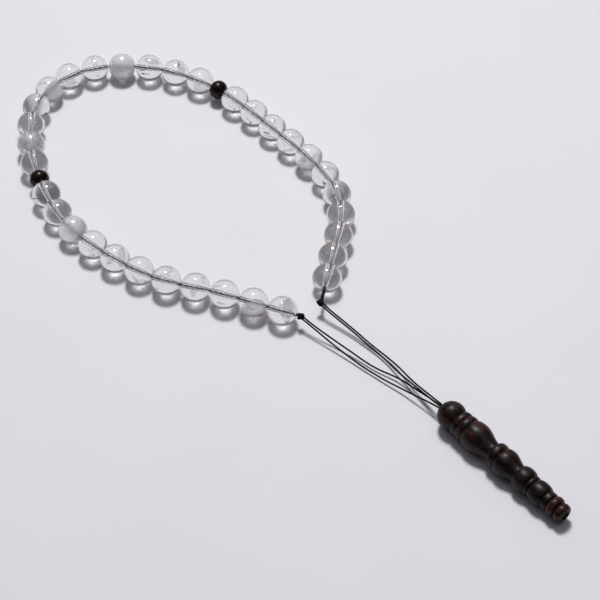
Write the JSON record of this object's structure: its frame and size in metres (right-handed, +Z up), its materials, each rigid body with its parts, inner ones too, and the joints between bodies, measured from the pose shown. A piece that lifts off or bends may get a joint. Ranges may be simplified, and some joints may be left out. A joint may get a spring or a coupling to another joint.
{
  "type": "prayer beads",
  "caption": "String of round clear quartz prayer beads with dark wood divider beads and a long turned wooden terminal on loose threads.",
  "frame": {"origin": "On the surface the string lies on, under the middle of the box of everything but the loose threads.", "axes": "+Z up from the surface; +Y from the terminal side to the far side of the loop; the terminal lies toward +X and -Y."},
  "size_m": [0.1832, 0.215, 0.01],
  "materials": {
    "clear_quartz": "polished",
    "divider_wood": "polished",
    "terminal_wood": "satin",
    "cap_wood": "satin",
    "black_thread": "matte"
  },
  "bodies": {
    "string_01": {"string_segment_01": "black_thread", "knot_right": "black_thread", "thread_right_outer": "black_thread", "thread_right_inner": "black_thread", "thread_left_upper": "black_thread", "thread_left_lower": "black_thread"},
    "string_02": {"string_segment_02": "black_thread"},
    "string_03": {"string_segment_03": "black_thread"},
    "string_04": {"string_segment_04": "black_thread"},
    "string_05": {"string_segment_05": "black_thread"},
    "string_06": {"string_segment_06": "black_thread"},
    "string_07": {"string_segment_07": "black_thread"},
    "string_08": {"string_segment_08": "black_thread"},
    "string_09": {"string_segment_09": "black_thread"},
    "string_10": {"string_segment_10": "black_thread"},
    "string_11": {"string_segment_11": "black_thread"},
    "string_12": {"string_segment_12": "black_thread", "knot_left": "black_thread"},
    "terminal_threads": {"thread_tail": "black_thread", "end_knot": "black_thread"},
    "terminal": {"terminal_body": "terminal_wood", "terminal_cap": "cap_wood"},
    "crystal_bead_01": {"crystal_bead_01": "clear_quartz"},
    "crystal_bead_02": {"crystal_bead_02": "clear_quartz"},
    "crystal_bead_03": {"crystal_bead_03": "clear_quartz"},
    "crystal_bead_04": {"crystal_bead_04": "clear_quartz"},
    "crystal_bead_05": {"crystal_bead_05": "clear_quartz"},
    "crystal_bead_06": {"crystal_bead_06": "clear_quartz"},
    "crystal_bead_07": {"crystal_bead_07": "clear_quartz"},
    "crystal_bead_08": {"crystal_bead_08": "clear_quartz"},
    "crystal_bead_09": {"crystal_bead_09": "clear_quartz"},
    "crystal_bead_10": {"crystal_bead_10": "clear_quartz"},
    "crystal_bead_11": {"crystal_bead_11": "clear_quartz"},
    "divider_bead_1": {"divider_bead_1": "divider_wood"},
    "crystal_bead_12": {"crystal_bead_12": "clear_quartz"},
    "crystal_bead_13": {"crystal_bead_13": "clear_quartz"},
    "crystal_bead_14": {"crystal_bead_14": "clear_quartz"},
    "crystal_bead_15": {"crystal_bead_15": "clear_quartz"},
    "crystal_bead_16": {"crystal_bead_16": "clear_quartz"},
    "crystal_bead_17": {"crystal_bead_17": "clear_quartz"},
    "crystal_bead_18": {"crystal_bead_18": "clear_quartz"},
    "crystal_bead_19": {"crystal_bead_19": "clear_quartz"},
    "crystal_bead_20": {"crystal_bead_20": "clear_quartz"},
    "crystal_bead_21": {"crystal_bead_21": "clear_quartz"},
    "crystal_bead_22": {"crystal_bead_22": "clear_quartz"},
    "divider_bead_2": {"divider_bead_2": "divider_wood"},
    "crystal_bead_23": {"crystal_bead_23": "clear_quartz"},
    "crystal_bead_24": {"crystal_bead_24": "clear_quartz"},
    "crystal_bead_25": {"crystal_bead_25": "clear_quartz"},
    "crystal_bead_26": {"crystal_bead_26": "clear_quartz"},
    "crystal_bead_27": {"crystal_bead_27": "clear_quartz"},
    "crystal_bead_28": {"crystal_bead_28": "clear_quartz"},
    "crystal_bead_29": {"crystal_bead_29": "clear_quartz"},
    "crystal_bead_30": {"crystal_bead_30": "clear_quartz"},
    "crystal_bead_31": {"crystal_bead_31": "clear_quartz"},
    "crystal_bead_32": {"crystal_bead_32": "clear_quartz"},
    "crystal_bead_33": {"crystal_bead_33": "clear_quartz"}
  },
  "joints": [
    {"name": "loop_flex_01", "type": "hinge", "parent": "string_01", "child": "string_02", "pos_m": [0.02418, 0.01799, 0.005], "axis": [0, 0, 1], "range_deg": [-2.48, 5.07]},
    {"name": "loop_flex_02", "type": "hinge", "parent": "string_02", "child": "string_03", "pos_m": [0.01631, 0.04799, 0.005], "axis": [0, 0, 1], "range_deg": [-6.5, 13.29]},
    {"name": "loop_flex_03", "type": "hinge", "parent": "string_03", "child": "string_04", "pos_m": [-0.00314, 0.07199, 0.005], "axis": [0, 0, 1], "range_deg": [-2.61, 5.34]},
    {"name": "loop_flex_04", "type": "hinge", "parent": "string_04", "child": "string_05", "pos_m": [-0.02228, 0.09124, 0.005], "axis": [0, 0, 1], "range_deg": [-8.63, 4.22]},
    {"name": "loop_flex_05", "type": "hinge", "parent": "string_05", "child": "string_06", "pos_m": [-0.05071, 0.10247, 0.005], "axis": [0, 0, 1], "range_deg": [-11.92, 5.83]},
    {"name": "loop_flex_06", "type": "hinge", "parent": "string_06", "child": "string_07", "pos_m": [-0.07911, 0.09338, 0.005], "axis": [0, 0, 1], "range_deg": [-4.52, 2.21]},
    {"name": "loop_flex_07", "type": "hinge", "parent": "string_07", "child": "string_08", "pos_m": [-0.08639, 0.06422, 0.005], "axis": [0, 0, 1], "range_deg": [-3.35, 6.85]},
    {"name": "loop_flex_08", "type": "hinge", "parent": "string_08", "child": "string_09", "pos_m": [-0.07989, 0.03791, 0.005], "axis": [0, 0, 1], "range_deg": [-5, 12]},
    {"name": "loop_flex_09", "type": "hinge", "parent": "string_09", "child": "string_10", "pos_m": [-0.06387, 0.01179, 0.005], "axis": [0, 0, 1], "range_deg": [-2.28, 4.66]},
    {"name": "loop_flex_10", "type": "hinge", "parent": "string_10", "child": "string_11", "pos_m": [-0.03917, -0.00664, 0.005], "axis": [0, 0, 1], "range_deg": [-10.55, 5.16]},
    {"name": "loop_flex_11", "type": "hinge", "parent": "string_11", "child": "string_12", "pos_m": [-0.00996, -0.01665, 0.005], "axis": [0, 0, 1], "range_deg": [-12.06, 5.9]},
    {"name": "terminal_swing", "type": "hinge", "parent": "string_01", "child": "terminal_threads", "pos_m": [0.05456, -0.06401, 0.00535], "axis": [0, 0, 1], "range_deg": [-40, 40]},
    {"name": "terminal_spin", "type": "hinge", "parent": "terminal_threads", "child": "terminal", "pos_m": [0.05456, -0.06401, 0.00535], "axis": [0.6412, -0.7669, -0.0254], "continuous": true},
    {"name": "crystal_bead_01_slide", "type": "slide", "parent": "string_01", "child": "crystal_bead_01", "axis": [-0.1961, -0.9806, 0], "range_m": [0, 0.005]},
    {"name": "crystal_bead_02_spin", "type": "hinge", "parent": "string_01", "child": "crystal_bead_02", "pos_m": [0.02119, 0.00284, 0.005], "axis": [0.1961, 0.9806, 0], "continuous": true},
    {"name": "crystal_bead_03_spin", "type": "hinge", "parent": "string_01", "child": "crystal_bead_03", "pos_m": [0.02319, 0.01294, 0.005], "axis": [0.1926, 0.9813, 0], "continuous": true},
    {"name": "crystal_bead_04_spin", "type": "hinge", "parent": "string_02", "child": "crystal_bead_04", "pos_m": [0.02419, 0.02314, 0.005], "axis": [0.0016, 1, 0], "continuous": true},
    {"name": "crystal_bead_05_spin", "type": "hinge", "parent": "string_02", "child": "crystal_bead_05", "pos_m": [0.02295, 0.03329, 0.005], "axis": [-0.2418, 0.9703, 0], "continuous": true},
    {"name": "crystal_bead_06_spin", "type": "hinge", "parent": "string_02", "child": "crystal_bead_06", "pos_m": [0.01901, 0.04314, 0.005], "axis": [-0.4859, 0.874, 0], "continuous": true},
    {"name": "crystal_bead_07_spin", "type": "hinge", "parent": "string_03", "child": "crystal_bead_07", "pos_m": [0.01321, 0.0521, 0.005], "axis": [-0.6031, 0.7977, 0], "continuous": true},
    {"name": "crystal_bead_08_spin", "type": "hinge", "parent": "string_03", "child": "crystal_bead_08", "pos_m": [0.00679, 0.06015, 0.005], "axis": [-0.6435, 0.7654, 0], "continuous": true},
    {"name": "crystal_bead_09_spin", "type": "hinge", "parent": "string_03", "child": "crystal_bead_09", "pos_m": [0.00017, 0.06804, 0.005], "axis": [-0.6416, 0.767, 0], "continuous": true},
    {"name": "crystal_bead_10_spin", "type": "hinge", "parent": "string_04", "child": "crystal_bead_10", "pos_m": [-0.00654, 0.07585, 0.005], "axis": [-0.6614, 0.75, 0], "continuous": true},
    {"name": "crystal_bead_11_spin", "type": "hinge", "parent": "string_04", "child": "crystal_bead_11", "pos_m": [-0.01357, 0.08338, 0.005], "axis": [-0.7028, 0.7114, 0], "continuous": true},
    {"name": "divider_bead_1_spin", "type": "hinge", "parent": "string_04", "child": "divider_bead_1", "pos_m": [-0.01973, 0.08914, 0.005], "axis": [-0.7713, 0.6365, 0], "continuous": true},
    {"name": "crystal_bead_12_spin", "type": "hinge", "parent": "string_05", "child": "crystal_bead_12", "pos_m": [-0.02668, 0.09392, 0.005], "axis": [-0.8543, 0.5198, 0], "continuous": true},
    {"name": "crystal_bead_13_spin", "type": "hinge", "parent": "string_05", "child": "crystal_bead_13", "pos_m": [-0.03583, 0.09858, 0.005], "axis": [-0.9232, 0.3842, 0], "continuous": true},
    {"name": "crystal_bead_14_spin", "type": "hinge", "parent": "string_05", "child": "crystal_bead_14", "pos_m": [-0.04565, 0.10151, 0.005], "axis": [-0.9826, 0.1855, 0], "continuous": true},
    {"name": "crystal_bead_15_spin", "type": "hinge", "parent": "string_06", "child": "crystal_bead_15", "pos_m": [-0.05586, 0.10249, 0.005], "axis": [-1, 0.0036, 0], "continuous": true},
    {"name": "crystal_bead_16_spin", "type": "hinge", "parent": "string_06", "child": "crystal_bead_16", "pos_m": [-0.06594, 0.10104, 0.005], "axis": [-0.9587, -0.2844, 0], "continuous": true},
    {"name": "crystal_bead_17_spin", "type": "hinge", "parent": "string_06", "child": "crystal_bead_17", "pos_m": [-0.075, 0.09648, 0.005], "axis": [-0.7989, -0.6015, 0], "continuous": true},
    {"name": "crystal_bead_18_spin", "type": "hinge", "parent": "string_07", "child": "crystal_bead_18", "pos_m": [-0.08177, 0.08897, 0.005], "axis": [-0.5164, -0.8563, 0], "continuous": true},
    {"name": "crystal_bead_19_spin", "type": "hinge", "parent": "string_07", "child": "crystal_bead_19", "pos_m": [-0.08558, 0.07954, 0.005], "axis": [-0.2231, -0.9748, 0], "continuous": true},
    {"name": "crystal_bead_20_spin", "type": "hinge", "parent": "string_07", "child": "crystal_bead_20", "pos_m": [-0.08656, 0.06937, 0.005], "axis": [0.0324, -0.9995, 0], "continuous": true},
    {"name": "crystal_bead_21_spin", "type": "hinge", "parent": "string_08", "child": "crystal_bead_21", "pos_m": [-0.08563, 0.05913, 0.005], "axis": [0.1485, -0.9889, 0], "continuous": true},
    {"name": "crystal_bead_22_spin", "type": "hinge", "parent": "string_08", "child": "crystal_bead_22", "pos_m": [-0.08353, 0.04907, 0.005], "axis": [0.2598, -0.9657, 0], "continuous": true},
    {"name": "divider_bead_2_spin", "type": "hinge", "parent": "string_08", "child": "divider_bead_2", "pos_m": [-0.08104, 0.041, 0.005], "axis": [0.3487, -0.9372, 0], "continuous": true},
    {"name": "crystal_bead_23_spin", "type": "hinge", "parent": "string_09", "child": "crystal_bead_23", "pos_m": [-0.07786, 0.03317, 0.005], "axis": [0.3929, -0.9196, 0], "continuous": true},
    {"name": "crystal_bead_24_spin", "type": "hinge", "parent": "string_09", "child": "crystal_bead_24", "pos_m": [-0.07326, 0.02398, 0.005], "axis": [0.5007, -0.8656, 0], "continuous": true},
    {"name": "crystal_bead_25_spin", "type": "hinge", "parent": "string_09", "child": "crystal_bead_25", "pos_m": [-0.06728, 0.01566, 0.005], "axis": [0.6615, -0.7499, 0], "continuous": true},
    {"name": "crystal_bead_26_spin", "type": "hinge", "parent": "string_10", "child": "crystal_bead_26", "pos_m": [-0.06001, 0.00838, 0.005], "axis": [0.7489, -0.6627, 0], "continuous": true},
    {"name": "crystal_bead_27_spin", "type": "hinge", "parent": "string_10", "child": "crystal_bead_27", "pos_m": [-0.05206, 0.00184, 0.005], "axis": [0.7946, -0.6071, 0], "continuous": true},
    {"name": "crystal_bead_28_spin", "type": "hinge", "parent": "string_10", "child": "crystal_bead_28", "pos_m": [-0.04357, -0.00396, 0.005], "axis": [0.8541, -0.52, 0], "continuous": true},
    {"name": "crystal_bead_29_spin", "type": "hinge", "parent": "string_11", "child": "crystal_bead_29", "pos_m": [-0.03435, -0.00844, 0.005], "axis": [0.9367, -0.35, 0], "continuous": true},
    {"name": "crystal_bead_30_spin", "type": "hinge", "parent": "string_11", "child": "crystal_bead_30", "pos_m": [-0.02457, -0.01164, 0.005], "axis": [0.9624, -0.2715, 0], "continuous": true},
    {"name": "crystal_bead_31_spin", "type": "hinge", "parent": "string_11", "child": "crystal_bead_31", "pos_m": [-0.01479, -0.01484, 0.005], "axis": [0.9368, -0.35, 0], "continuous": true},
    {"name": "crystal_bead_32_spin", "type": "hinge", "parent": "string_12", "child": "crystal_bead_32", "pos_m": [-0.00518, -0.01856, 0.005], "axis": [0.9283, -0.3717, 0], "continuous": true},
    {"name": "crystal_bead_33_spin", "type": "hinge", "parent": "string_12", "child": "crystal_bead_33", "pos_m": [0.00438, -0.02239, 0.005], "axis": [0.9283, -0.3718, 0], "continuous": true}
  ],
  "couplings": [
    {"joint": "loop_flex_01", "follows": "loop_flex_08", "ratio": 0.37},
    {"joint": "loop_flex_02", "follows": "loop_flex_08", "ratio": 0.97},
    {"joint": "loop_flex_03", "follows": "loop_flex_08", "ratio": 0.39},
    {"joint": "loop_flex_04", "follows": "loop_flex_08", "ratio": -0.63},
    {"joint": "loop_flex_05", "follows": "loop_flex_08", "ratio": -0.87},
    {"joint": "loop_flex_06", "follows": "loop_flex_08", "ratio": -0.33},
    {"joint": "loop_flex_07", "follows": "loop_flex_08", "ratio": 0.5},
    {"joint": "loop_flex_09", "follows": "loop_flex_08", "ratio": 0.34},
    {"joint": "loop_flex_10", "follows": "loop_flex_08", "ratio": -0.77},
    {"joint": "loop_flex_11", "follows": "loop_flex_08", "ratio": -0.88}
  ]
}
